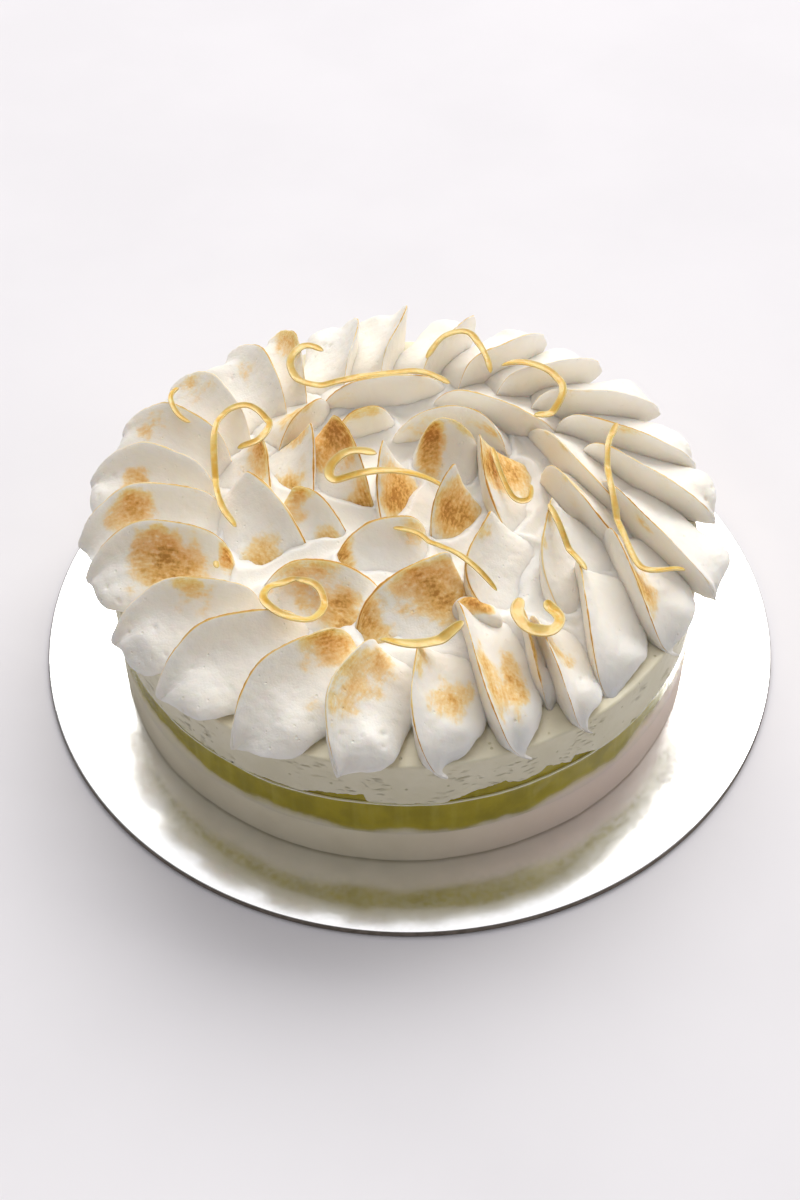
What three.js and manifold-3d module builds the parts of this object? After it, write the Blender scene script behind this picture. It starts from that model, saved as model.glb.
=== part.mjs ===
// A round layered lemon cake under torched meringue petals, on its foil-faced card.
// Millimetres, +Z up. The origin is the centre of the card's underside.
import * as THREE from "three";
import { mergeVertices } from "three/addons/utils/BufferGeometryUtils.js";
import Module from "manifold-3d";

// The card and the three layers.
const cardRadius = 127;
const cardThickness = 2.5;
const cardEdgeRounding = 0.5;
const cakeRadius = 98.4;
const cakeCentre = new THREE.Vector2(-1.8, -3.1);
const baseLayerHeight = 15.5;
const curdHeight = 14.5;
const creamHeight = 19.2;
const curdInset = 0.5;
const creamLipInset = 1.4;
const creamLipHeight = 2.4;
const creamTopRounding = 0.8;
const baseFootRounding = 1.2;
const roundSides = 64;

const baseTop = cardThickness + baseLayerHeight;
const curdTop = baseTop + curdHeight;
const deck = curdTop + creamHeight;

// A piped petal is a thin fin on a broad foot. Its section, from the crest down the broad side to the
// foot's edge, under it and up the steep side: across as part of the foot's width, up as part of the height.
const petalSection = [
  [0.035, 1.0],
  [0.15, 0.76],
  [0.36, 0.48],
  [0.68, 0.26],
  [0.96, 0.12],
  [0.9, 0],
  [-0.2, 0],
  [-0.08, 0.45],
  [-0.035, 1.0],
];
const petalStations = 7;
const crestBluntness = { heel: 0.5, tip: 0.34 };
const footBluntness = { heel: 0.6, tip: 0.46 };
const noseOverhang = 3;
const noseSharpness = 4;
const bowPeak = 27 / 4;

// Every petal is one stroke, a row each: where it starts (its heel) and where it ends (its tip), as an
// angle in degrees and a distance from the cake's axis, then the crest's height, the foot's width and
// how far the crest bows out on its steep side. They are as uneven as a hand pipes them.
const rimPetals = [
  [275, 58, 277, 101, 20, 20, 5],
  [291, 44, 292, 101, 20, 18, 5],
  [309, 56, 301, 90, 19, 9, 3],
  [308, 62, 304, 101, 20, 14, 3],
  [336, 60, 312, 98, 20, 18, 3],
  [350, 66, 328, 101, 21, 20, 4],
  [9, 64, 343, 102, 21, 20, 4],
  [25, 66, 2, 101, 20, 20, 4],
  [38, 66, 16, 101, 20, 20, 4],
  [49, 66, 32, 103, 20, 20, 4],
  [61, 65, 48, 103, 20, 20, 4],
  [73, 65, 61, 103, 21, 19, 4],
  [85, 64, 76, 102, 22, 18, 4],
  [98, 62, 91, 104, 23, 18, 4],
  [110, 62, 102, 101, 20, 17, 4],
  [124, 60, 118, 102, 21, 17, 4],
  [132, 60, 127, 103, 20, 19, 4],
  [147, 62, 141, 104, 20, 20, 4],
  [158, 62, 155, 105, 21, 20, 4],
  [172, 62, 169, 105, 21, 20, 5],
  [180, 58, 184, 104, 20, 20, 6],
  [202, 58, 193, 102, 22, 20, 6],
  [224, 60, 209, 101, 20, 20, 6],
  [240, 58, 224, 101, 20, 21, 6],
  [255, 57, 241, 101, 20, 21, 6],
  [263, 58, 259, 100, 20, 20, 6],
];
const middlePetals = [
  [301, 33, 255, 57, 21, 24, 5],
  [342, 31, 303, 55, 23, 20, 9],
  [357, 49, 320, 66, 22, 20, 5],
  [18, 48, 349, 74, 22, 20, 3],
  [43, 58, 357, 77, 22, 20, 5],
  [80, 56, 37, 68, 22, 21, 6],
  [120, 60, 78, 68, 22, 21, 6],
  [145, 53, 117, 60, 21, 20, 3],
  [172, 45, 150, 60, 19, 18, 2],
  [213, 36, 170, 56, 21, 22, 1],
  [262, 37, 217, 58, 19, 22, 4],
];
const crownPetals = [
  [303, 16, 227, 34, 21, 20, 4],
  [45, 36, 343, 38, 25, 19, 4],
  [98, 35, 34, 44, 25, 15, -7],
  [126, 42, 94, 44, 23, 16, 2],
  [171, 31, 136, 46, 23, 17, 1],
  [216, 21, 182, 39, 21, 18, 3],
  [38, 35, 82, 21, 27, 15, 4],
  [105, 21, 238, 10, 26, 15, 2],
  [22, 20, 301, 19, 26, 14, 2],
  [200, 10, 129, 43, 25, 18, 2],
];

// Strips of lemon peel lying over the crests, a row each: the width, then the way that the strip takes
// from end to end, as points from the cake's axis.
const peelThickness = 1;
const peelBendRadius = 26;
const peelStep = 5;
const peelWays = [
  [2.6, [-35, -35], [-27, -38], [-25, -46], [-29, -54], [-37, -54], [-43, -48], [-42, -40], [-37, -36]],
  [3.4, [-8, -61], [-2, -65], [5, -66], [12, -63], [19, -57]],
  [4, [36, -47], [34, -54], [38, -61], [44, -62], [47, -56], [43, -46]],
  [1.8, [-4, -17], [4, -18], [10, -23], [18, -31], [29, -42]],
  [3, [-8, 14], [-18, 14], [-24, 9], [-22, 4], [-8, 4], [15, 7]],
  [2.2, [72, 30], [68, 19], [67, 5], [68, -9], [70, -24], [73, -35], [79, -36], [89, -31]],
  [3, [34, 62], [44, 61], [53, 55], [55, 46], [50, 38], [43, 36]],
  [2.4, [-54, -10], [-59, -3], [-62, 10], [-63, 28], [-60, 38], [-52, 41], [-45, 34], [-48, 24], [-56, 21]],
  [2.8, [17, 54], [6, 57], [-8, 57], [-21, 54], [-34, 54], [-39, 62], [-34, 70], [-26, 68]],
];

// The widths across a strip where the ground under it is felt, as parts of its half width.
const peelProbes = [-1.2, -0.6, 0, 0.6, 1.2];
const probeHeight = 100;

const gap = 0.3;
const weld = 1e-4;
const meringue = { color: 0xf6f1ea, roughness: 0.6, metalness: 0 };
const peel = { color: 0xe9c84f, roughness: 0.35, metalness: 0 };

const wasm = await Module();
wasm.setup();

function degrees(angle) {
  return (angle * Math.PI) / 180;
}

function polar(centre, radius, angle) {
  const turned = new THREE.Vector2(radius, 0).rotateAround(new THREE.Vector2(), degrees(angle));
  return turned.add(centre);
}

function named(name, geometry, finish) {
  const mesh = new THREE.Mesh(geometry, new THREE.MeshStandardMaterial(finish));
  mesh.name = name;
  return mesh;
}

// A turned disc between two heights, its outline given from the bottom edge to the top edge.
function disc(outline, bottom, top) {
  const profile = [new THREE.Vector2(0, bottom), ...outline, new THREE.Vector2(0, top)];
  const lathe = new THREE.LatheGeometry(profile, roundSides);
  return lathe.rotateX(Math.PI / 2);
}

function cakeLayer(name, outline, bottom, top, finish) {
  const layer = named(name, disc(outline, bottom, top), finish);
  layer.position.set(cakeCentre.x, cakeCentre.y, 0);
  return layer;
}

function foilCard() {
  const rim = cardRadius - cardEdgeRounding;
  const outline = [
    new THREE.Vector2(rim, 0),
    new THREE.Vector2(cardRadius, cardEdgeRounding),
    new THREE.Vector2(cardRadius, cardThickness - cardEdgeRounding),
    new THREE.Vector2(rim, cardThickness),
  ];
  return named("foil_card", disc(outline, 0, cardThickness), {
    color: 0xe4e7e6,
    roughness: 0.25,
    metalness: 0.9,
  });
}

function baseLayer() {
  const outline = [
    new THREE.Vector2(cakeRadius - baseFootRounding, cardThickness),
    new THREE.Vector2(cakeRadius, cardThickness + baseFootRounding),
    new THREE.Vector2(cakeRadius, baseTop),
  ];
  return cakeLayer("base_layer", outline, cardThickness, baseTop, {
    color: 0xf0ede2,
    roughness: 0.55,
    metalness: 0,
  });
}

function curdLayer() {
  const radius = cakeRadius - curdInset;
  const outline = [new THREE.Vector2(radius, baseTop), new THREE.Vector2(radius, curdTop)];
  return cakeLayer("curd_layer", outline, baseTop, curdTop, {
    color: 0xb9bb5a,
    roughness: 0.25,
    metalness: 0,
  });
}

function creamLayer() {
  const outline = [
    new THREE.Vector2(cakeRadius - creamLipInset, curdTop),
    new THREE.Vector2(cakeRadius, curdTop + creamLipHeight),
    new THREE.Vector2(cakeRadius, deck - creamTopRounding),
    new THREE.Vector2(cakeRadius - creamTopRounding, deck),
  ];
  return cakeLayer("cream_layer", outline, curdTop, deck, {
    color: 0xe4e8d6,
    roughness: 0.55,
    metalness: 0,
  });
}

// How full the stroke is at one place along it: nought at both ends and one at its fullest.
function fullness(along, bluntness) {
  const fullest = bluntness.heel / (bluntness.heel + bluntness.tip);
  const shape = (t) => Math.pow(t, bluntness.heel) * Math.pow(1 - t, bluntness.tip);
  return shape(along) / shape(fullest);
}

// One petal from heel to tip. A ball's grid is drawn out along the stroke, and each ring of it takes
// the section's outline. The crest bows out most two thirds of the way along, and the blunt nose at
// the tip hangs out past the foot.
function petalGeometry({ heel, tip, height, foot, bow }) {
  const stroke = tip.clone().sub(heel);
  const length = stroke.length();
  const ahead = stroke.normalize();
  const across = new THREE.Vector2(-ahead.y, ahead.x);
  const ball = new THREE.SphereGeometry(1, petalSection.length, petalStations);
  const { position, uv } = ball.attributes;
  for (let i = 0; i < position.count; i++) {
    const step = Math.round((1 - uv.getY(i)) * petalStations);
    const along = (1 - Math.cos((Math.PI * step) / petalStations)) / 2;
    const corner = Math.round((uv.getX(i) + 1) * petalSection.length) % petalSection.length;
    const [side, up] = petalSection[corner];
    const onPole = step === 0 || step === petalStations;
    const rise = onPole ? 0 : up * fullness(along, crestBluntness);
    const spread = onPole ? 0 : side * fullness(along, footBluntness);
    const nose = noseOverhang * Math.pow(along, noseSharpness) * 4 * rise * (1 - rise);
    const bend = bow * bowPeak * along * along * (1 - along);
    const place = heel.clone().addScaledVector(ahead, length * along + nose);
    place.addScaledVector(across, foot * spread - bend);
    position.setXYZ(i, place.x, place.y, deck + height * rise);
  }
  ball.deleteAttribute("normal");
  ball.deleteAttribute("uv");
  return mergeVertices(ball, weld);
}

function solid(geometry) {
  const merged = mergeVertices(geometry, weld);
  return new wasm.Manifold(
    new wasm.Mesh({
      numProp: 3,
      vertProperties: merged.attributes.position.array,
      triVerts: new Uint32Array(merged.index.array),
    }),
  );
}

function geometryOf(body) {
  const { vertProperties, triVerts } = body.getMesh();
  const geometry = new THREE.BufferGeometry();
  geometry.setAttribute("position", new THREE.BufferAttribute(vertProperties, 3));
  geometry.setIndex(new THREE.BufferAttribute(triVerts, 1));
  geometry.computeVertexNormals();
  return geometry;
}

// A row of the tables above as a stroke in plan.
function stroke([heelAngle, heelRadius, tipAngle, tipRadius, height, foot, bow]) {
  const heel = polar(cakeCentre, heelRadius, heelAngle);
  const tip = polar(cakeCentre, tipRadius, tipAngle);
  return { heel, tip, height, foot, bow };
}

// The same petal with the clearance that its neighbours are cut back by.
function swollen(petal) {
  const ahead = petal.tip.clone().sub(petal.heel).normalize();
  return {
    ...petal,
    heel: petal.heel.clone().addScaledVector(ahead, -gap),
    tip: petal.tip.clone().addScaledVector(ahead, gap),
    height: petal.height + 2 * gap,
    foot: petal.foot + 2 * gap,
  };
}

// What is left of a petal beside the ones that were piped against it: its largest piece.
function cutBack(petal, neighbours) {
  let body = solid(petalGeometry(petal));
  const box = new THREE.Box2().setFromPoints([petal.heel, petal.tip]);
  for (const neighbour of neighbours) {
    const reach = petal.foot + neighbour.foot;
    const nearby = new THREE.Box2().setFromPoints([neighbour.heel, neighbour.tip]);
    if (nearby.expandByScalar(reach).intersectsBox(box))
      body = body.subtract(solid(petalGeometry(swollen(neighbour))));
  }
  const pieces = body.decompose();
  return pieces.reduce((most, piece) => (piece.volume() > most.volume() ? piece : most));
}

// Each petal leans on the foot of the one before it, all the way round its ring, and the rings are laid
// from the crown outwards.
function pipedAfter(ring, index, outerRings) {
  const closing = index === ring.length - 1 ? [ring[0]] : [];
  const later = index === 0 ? ring.slice(1, -1) : ring.slice(index + 1);
  return [...closing, ...later, ...outerRings.flat()];
}

function pipedRing(name, ring, outerRings) {
  return ring.map((petal, index) => {
    const body = cutBack(petal, pipedAfter(ring, index, outerRings));
    return named(name + "_" + String(index + 1).padStart(2, "0"), geometryOf(body), meringue);
  });
}

// The highest meringue under a strip's width at each sample along its way.
function ground(way, samples, halfWidth, meringues) {
  const caster = new THREE.Raycaster();
  const down = new THREE.Vector3(0, 0, -1);
  const heights = [];
  for (let i = 0; i <= samples; i++) {
    const point = way.getPointAt(i / samples);
    const side = way.getTangentAt(i / samples).cross(down).setLength(halfWidth);
    let highest = deck;
    for (const across of peelProbes) {
      const above = point.clone().addScaledVector(side, across).setZ(deck + probeHeight);
      caster.set(above, down);
      const hits = caster.intersectObjects(meringues, false);
      if (hits.length) highest = Math.max(highest, hits[0].point.z);
    }
    heights.push(highest);
  }
  return heights;
}

// A strip lies on the high points and hangs between them no tighter than it bends.
function peelStrip(name, [width, ...points], meringues) {
  const plan = points.map(([x, y]) => new THREE.Vector3(x + cakeCentre.x, y + cakeCentre.y, 0));
  const way = new THREE.CatmullRomCurve3(plan);
  const length = way.getLength();
  const samples = Math.ceil(length);
  const heights = ground(way, samples, width / 2, meringues);
  const lie = (at) => {
    const held = heights.map((z, i) => z - Math.pow(at - (i * length) / samples, 2) / (2 * peelBendRadius));
    return Math.max(...held) + gap + peelThickness / 2;
  };
  const steps = Math.round(length / peelStep);
  const strip = new THREE.BoxGeometry(1, width, peelThickness, steps, 1, 1);
  const { position } = strip.attributes;
  for (let i = 0; i < position.count; i++) {
    const along = Math.min(1, Math.max(0, position.getX(i) + 0.5));
    const place = way.getPointAt(along);
    const side = new THREE.Vector3(0, 0, 1).cross(way.getTangentAt(along)).normalize();
    place.addScaledVector(side, position.getY(i));
    position.setXYZ(i, place.x, place.y, lie(along * length) + position.getZ(i));
  }
  strip.deleteAttribute("normal");
  strip.deleteAttribute("uv");
  const bent = mergeVertices(strip, weld);
  bent.computeVertexNormals();
  return named(name, bent, peel);
}

const rim = rimPetals.map(stroke);
const middle = middlePetals.map(stroke);
const crown = crownPetals.map(stroke);
const meringues = [
  ...pipedRing("rim_petal", rim, []),
  ...pipedRing("middle_petal", middle, [rim]),
  ...pipedRing("crown_petal", crown, [middle, rim]),
];
const peels = peelWays.map((row, index) => peelStrip("lemon_peel_" + (index + 1), row, meringues));

const cake = new THREE.Group();
cake.add(foilCard(), baseLayer(), curdLayer(), creamLayer(), ...meringues, ...peels);

export default cake;
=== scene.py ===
"""A lemon meringue layer cake on its foil-faced card: torched piped petals, curls of peel, three layers."""
import math

import bmesh
import bpy
from mathutils import Matrix, Vector, noise
from mathutils.bvhtree import BVHTree


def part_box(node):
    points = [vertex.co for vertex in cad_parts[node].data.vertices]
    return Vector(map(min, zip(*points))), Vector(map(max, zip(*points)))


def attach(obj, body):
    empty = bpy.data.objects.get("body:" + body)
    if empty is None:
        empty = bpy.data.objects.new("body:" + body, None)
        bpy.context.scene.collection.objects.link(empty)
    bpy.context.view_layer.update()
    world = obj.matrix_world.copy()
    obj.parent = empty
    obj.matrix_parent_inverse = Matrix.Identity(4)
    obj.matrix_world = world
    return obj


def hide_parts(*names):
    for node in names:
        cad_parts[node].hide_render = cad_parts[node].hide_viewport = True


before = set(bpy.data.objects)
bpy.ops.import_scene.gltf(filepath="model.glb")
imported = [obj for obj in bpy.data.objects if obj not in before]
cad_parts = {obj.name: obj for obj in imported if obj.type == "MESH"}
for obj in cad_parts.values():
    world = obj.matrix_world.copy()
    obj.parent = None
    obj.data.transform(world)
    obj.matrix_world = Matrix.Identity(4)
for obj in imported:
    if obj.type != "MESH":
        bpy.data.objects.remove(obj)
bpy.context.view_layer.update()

MM = 0.001
card_low, card_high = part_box("foil_card")
base_low, base_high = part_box("base_layer")
curd_low, curd_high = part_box("curd_layer")
cream_low, cream_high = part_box("cream_layer")
card_radius = (card_high.x - card_low.x) / 2
cake_radius = (cream_high.x - cream_low.x) / 2
curd_radius = (curd_high.x - curd_low.x) / 2
base_radius = (base_high.x - base_low.x) / 2
axis = Vector(((cream_low.x + cream_high.x) / 2, (cream_low.y + cream_high.y) / 2, 0))
deck = cream_high.z

# ----- Shared shapes -----


def polar(distance, degrees, height=0.0):
    """A point at a distance from the cake's axis, counted round from +X."""
    turned = math.radians(degrees)
    return axis + Vector((distance * math.cos(turned), distance * math.sin(turned), height))


def smooth(low, high, value):
    """Nought at low, one at high, level past either, and an easy slope between."""
    share = min(max((value - low) / (high - low), 0), 1)
    return share * share * (3 - 2 * share)


def level(vector):
    """A vector without its rise."""
    return Vector((vector.x, vector.y, 0))


def ruffle(point, size, seed=0.0):
    """Even noise of about -1 to 1 whose bumps are as wide as size."""
    return noise.noise(point / size + Vector((seed, seed * 0.37, -seed)))


def stand(columns):
    """The matrix with these four vectors as its forward, across, up and place."""
    rows = [[column[row] for column in columns] for row in range(3)]
    return Matrix(rows + [[0, 0, 0, 1]])


def draw_out(bm, outline, places, step_layer, corner_layer):
    """Draws a closed outline through a row of places, as a nozzle draws a stroke, and closes both ends.

    Each vertex remembers the number of its place and of its corner."""
    ring = [bm.verts.new((0, across, up)) for across, up in outline]
    for number, vert in enumerate(ring):
        vert[corner_layer] = number
    edges = [bm.edges.new(pair) for pair in zip(ring, ring[1:] + ring[:1])]
    bmesh.ops.transform(bm, matrix=places[0], verts=ring)
    ends = [ring]
    for step in range(1, len(places)):
        drawn = bmesh.ops.extrude_edge_only(bm, edges=edges)["geom"]
        ring = [part for part in drawn if isinstance(part, bmesh.types.BMVert)]
        fresh = set(ring)
        edges = [part for part in drawn
                 if isinstance(part, bmesh.types.BMEdge) and fresh.issuperset(part.verts)]
        bmesh.ops.transform(bm, matrix=places[step] @ places[step - 1].inverted(), verts=ring)
        for vert in ring:
            vert[step_layer] = step
    ends.append(ring)
    for end in ends:
        middle = sum((vert.co for vert in end), Vector()) / len(end)
        bmesh.ops.pointmerge(bm, verts=end, merge_co=middle)


def turn_round(bm, profile, centre, steps):
    """Spins a profile of (distance, height) points from the axis to the axis into a closed round."""
    verts = [bm.verts.new(centre + Vector((distance, 0, height))) for distance, height in profile]
    edges = [bm.edges.new(pair) for pair in zip(verts, verts[1:])]
    bmesh.ops.spin(bm, geom=verts + edges, cent=centre, axis=(0, 0, 1), angle=math.tau,
                   steps=steps, use_merge=True)
    bmesh.ops.remove_doubles(bm, verts=bm.verts, dist=0.01 * MM)


def add_piece(bm, name, material, slot, *nodes, levels=0):
    """Makes a finished piece of a bmesh: it rides on the cake's body and stands for the nodes named."""
    bmesh.ops.recalc_face_normals(bm, faces=bm.faces)
    for face in bm.faces:
        face.smooth = True
    mesh = bpy.data.meshes.new(name)
    bm.to_mesh(mesh)
    bm.free()
    mesh.materials.append(material)
    piece = bpy.data.objects.new(name, mesh)
    bpy.context.scene.collection.objects.link(piece)
    if levels:
        rounding = piece.modifiers.new("rounding", "SUBSURF")
        rounding.levels = levels
        rounding.render_levels = levels
    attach(piece, "root")
    if nodes:
        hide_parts(*nodes)
    return piece


# ----- Materials -----


def add(tree, kind, **settings):
    """A new shader node of a kind, with its settings."""
    made = tree.nodes.new("ShaderNode" + kind)
    for name, value in settings.items():
        setattr(made, name, value)
    return made


def feed(tree, node, **sources):
    """Sets a node's inputs: a socket is linked, and anything else is the input's own value."""
    for name, source in sources.items():
        target = node.inputs[int(name[1:])] if name[1:].isdigit() else node.inputs[name.replace("_", " ")]
        if isinstance(source, bpy.types.NodeSocket):
            tree.links.new(source, target)
        else:
            target.default_value = source
    return node


def calc(tree, operation, first, second=0.0):
    """A sum of one or two values."""
    return feed(tree, add(tree, "Math", operation=operation), i0=first, i1=second).outputs[0]


def span(tree, value, low, high, out_low=0.0, out_high=1.0):
    """Eases a value from one range into another."""
    fitted = add(tree, "MapRange", interpolation_type="SMOOTHSTEP")
    return feed(tree, fitted, i0=value, i1=low, i2=high, i3=out_low, i4=out_high).outputs[0]


def blend_colours(tree, share, first, second):
    """The first colour at a share of nought, the second at one."""
    mixed = add(tree, "Mix", data_type="RGBA", clamp_factor=True)
    return feed(tree, mixed, i0=share, i6=first, i7=second).outputs[2]


def speckle(tree, scale, detail, where=None, stretch=(1, 1, 1)):
    """Noise of 0 to 1 on the object's own coordinates, or on those given; scale is in bumps a metre."""
    source = where or add(tree, "TexCoord").outputs["Object"]
    placed = feed(tree, add(tree, "Mapping"), Vector=source, Scale=stretch)
    made = feed(tree, add(tree, "TexNoise"), Vector=placed.outputs[0], Scale=scale, Detail=detail)
    return made.outputs["Fac"]


def around(tree, value, swing):
    """Turns noise of 0 to 1 into a swing either side of nought."""
    return calc(tree, "MULTIPLY", calc(tree, "SUBTRACT", value, 0.5), swing)


def position(tree):
    """The place on the object, as X, Y and Z outputs."""
    where = add(tree, "SeparateXYZ")
    tree.links.new(add(tree, "TexCoord").outputs["Object"], where.inputs[0])
    return where.outputs


def ramp(tree, value, *stops):
    """A colour ramp of (place, colour) stops."""
    made = add(tree, "ValToRGB")
    band = made.color_ramp
    while len(band.elements) < len(stops):
        band.elements.new(0.5)
    for element, (place, colour) in zip(band.elements, stops):
        element.position = place
        element.color = colour
    return feed(tree, made, Fac=value).outputs["Color"]


def effect(name, inputs, outputs, build):
    """A node group with inputs of (name, kind, value) and outputs of (name, kind), filled in by build."""
    tree = bpy.data.node_groups.new(name, "ShaderNodeTree")
    for title, kind, value in inputs:
        made = tree.interface.new_socket(title, in_out="INPUT", socket_type="NodeSocket" + kind)
        made.default_value = value
    for title, kind in outputs:
        tree.interface.new_socket(title, in_out="OUTPUT", socket_type="NodeSocket" + kind)
    given = tree.nodes.new("NodeGroupInput")
    result = tree.nodes.new("NodeGroupOutput")
    for title, socket in build(tree, {title: given.outputs[title] for title, _, _ in inputs}).items():
        tree.links.new(socket, result.inputs[title])
    return tree


def use(tree, group, **values):
    """Places an effect in a material with its own values."""
    made = add(tree, "Group", node_tree=group)
    return feed(tree, made, **values)


def build_mottle(tree, given):
    """Drifts between two colours in soft patches."""
    patches = speckle(tree, given["Scale"], 4.0)
    share = span(tree, patches, 0.35, 0.65)
    share = calc(tree, "MULTIPLY", share, given["Amount"])
    return {"Color": blend_colours(tree, share, given["Color"], given["Other Color"])}


def build_grain(tree, given):
    """The fine grain of whipped food: a bubble-sized grain, with small air holes sunk into it."""
    grain = speckle(tree, given["Scale"], 3.0)
    spots = add(tree, "TexVoronoi", feature="F1")
    feed(tree, spots, Vector=add(tree, "TexCoord").outputs["Object"], Scale=given["Hole Scale"])
    thin = speckle(tree, given["Hole Scale"], 1.0)
    hole = span(tree, spots.outputs["Distance"], 0.08, 0.2, 1.0, 0.0)
    hole = calc(tree, "MULTIPLY", hole, span(tree, thin, 0.5, 0.62))
    hole = calc(tree, "MULTIPLY", hole, given["Holes"])
    height = calc(tree, "SUBTRACT", calc(tree, "MULTIPLY", grain, 0.35), hole)
    return {"Height": height, "Holes": hole}


mottle = effect(
    "soft mottle",
    [("Color", "Color", (1, 1, 1, 1)), ("Other Color", "Color", (1, 1, 1, 1)),
     ("Scale", "Float", 60.0), ("Amount", "Float", 0.5)],
    [("Color", "Color")],
    build_mottle,
)
grain = effect(
    "whipped grain",
    [("Scale", "Float", 900.0), ("Hole Scale", "Float", 260.0), ("Holes", "Float", 1.0)],
    [("Height", "Float"), ("Holes", "Float")],
    build_grain,
)


def finish(name, **constants):
    """A material with a Principled shader whose plain values are set on its own sockets."""
    material = bpy.data.materials.new(name)
    material.use_nodes = True
    tree = material.node_tree
    tree.nodes.clear()
    surface = add(tree, "BsdfPrincipled")
    feed(tree, surface, **constants)
    out = add(tree, "OutputMaterial")
    tree.links.new(surface.outputs[0], out.inputs["Surface"])
    return material, tree, surface


def raise_bumps(tree, surface, height, distance, strength):
    """Gives a surface fine relief, with distance as its full height."""
    bump = feed(tree, add(tree, "Bump"), Height=height, Distance=distance, Strength=strength)
    tree.links.new(bump.outputs[0], surface.inputs["Normal"])


def meringue_finish():
    """White whipped meringue, softly browned where the torch played and thinly along each crest."""
    material, tree, surface = finish("torched meringue", Subsurface_Weight=0.5, Subsurface_Scale=0.007,
                                     Subsurface_Radius=(1.0, 0.8, 0.58))
    toast = add(tree, "Attribute", attribute_name="toast").outputs["Fac"]
    crest = add(tree, "Attribute", attribute_name="crest").outputs["Fac"]
    flow = add(tree, "UVMap", uv_map="flow").outputs["UV"]
    fibres = speckle(tree, 1.0, 3.0, flow, (340, 1500, 1))
    blotches = speckle(tree, 120, 3.0)
    specks = speckle(tree, 900, 3.0)
    drift = speckle(tree, 28, 1.0)
    near = span(tree, toast, 0.02, 0.3)
    patch = calc(tree, "ADD", toast, calc(tree, "MULTIPLY", around(tree, blotches, 1.1), near))
    texture = calc(tree, "ADD", around(tree, fibres, 1.6), around(tree, specks, 1.4))
    burnt = calc(tree, "MULTIPLY", span(tree, patch, 0.04, 1.15), calc(tree, "ADD", texture, 0.95))
    line = calc(tree, "MULTIPLY", crest, span(tree, drift, 0.35, 0.62, 0.2, 1.0))
    browned = calc(tree, "MAXIMUM", burnt, line)
    white = use(tree, mottle, Color=(0.93, 0.885, 0.81, 1), Other_Color=(0.92, 0.86, 0.765, 1),
                Scale=45.0, Amount=0.6).outputs["Color"]
    brown = ramp(tree, browned, (0.0, (0.94, 0.85, 0.69, 1)), (0.3, (0.92, 0.68, 0.34, 1)),
                 (0.65, (0.8, 0.46, 0.12, 1)), (1.0, (0.52, 0.23, 0.03, 1)))
    colour = blend_colours(tree, span(tree, browned, 0.0, 0.25), white, brown)
    tree.links.new(colour, surface.inputs["Base Color"])
    tree.links.new(span(tree, browned, 0.0, 0.6, 0.48, 0.62), surface.inputs["Roughness"])
    whipped = use(tree, grain, Scale=1300.0, Hole_Scale=330.0, Holes=0.7).outputs["Height"]
    relief = calc(tree, "ADD", whipped, calc(tree, "MULTIPLY", fibres, 0.3))
    raise_bumps(tree, surface, relief, 0.4 * MM, 0.8)
    return material


def cream_finish():
    """Pale lemon cream, set firm: a close crumb with small air holes, painted darker inside as a painted
    shade.
    """
    material, tree, surface = finish("lemon cream", Subsurface_Weight=0.2, Subsurface_Scale=0.003,
                                     Subsurface_Radius=(1.0, 0.9, 0.6))
    colour = use(tree, mottle, Color=(0.83, 0.77, 0.58, 1), Other_Color=(0.76, 0.7, 0.5, 1),
                 Scale=90.0, Amount=0.7).outputs["Color"]
    crumb = use(tree, grain, Scale=1100.0, Hole_Scale=300.0, Holes=0.8)
    # The air holes are painted a darker olive: a painted shade in each hole.
    deep = blend_colours(tree, crumb.outputs["Holes"], colour, (0.55, 0.5, 0.3, 1))
    tree.links.new(deep, surface.inputs["Base Color"])
    tree.links.new(span(tree, crumb.outputs["Holes"], 0.0, 1.0, 0.5, 0.75), surface.inputs["Roughness"])
    raise_bumps(tree, surface, crumb.outputs["Height"], 0.3 * MM, 0.8)
    return material


# The stretch from left to right, in metres, over which the base and the curd's foot turn pinker.
PINK_SIDE = (-0.02, 0.07)


def base_finish():
    """The smooth off-white foot of the cake, a little pinker to one side."""
    material, tree, surface = finish("set base", Subsurface_Weight=0.2, Subsurface_Scale=0.003,
                                     Subsurface_Radius=(1.0, 0.85, 0.6))
    side = span(tree, position(tree)["X"], *PINK_SIDE)
    plain = use(tree, mottle, Color=(0.87, 0.78, 0.57, 1), Other_Color=(0.79, 0.7, 0.5, 1),
                Scale=50.0, Amount=0.8).outputs["Color"]
    colour = blend_colours(tree, side, plain, (0.93, 0.74, 0.61, 1))
    tree.links.new(colour, surface.inputs["Base Color"])
    crumb = use(tree, grain, Scale=700.0, Hole_Scale=170.0, Holes=0.35)
    tree.links.new(span(tree, crumb.outputs["Height"], 0.0, 0.3, 0.5, 0.6), surface.inputs["Roughness"])
    raise_bumps(tree, surface, crumb.outputs["Height"], 0.25 * MM, 0.6)
    return material


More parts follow.
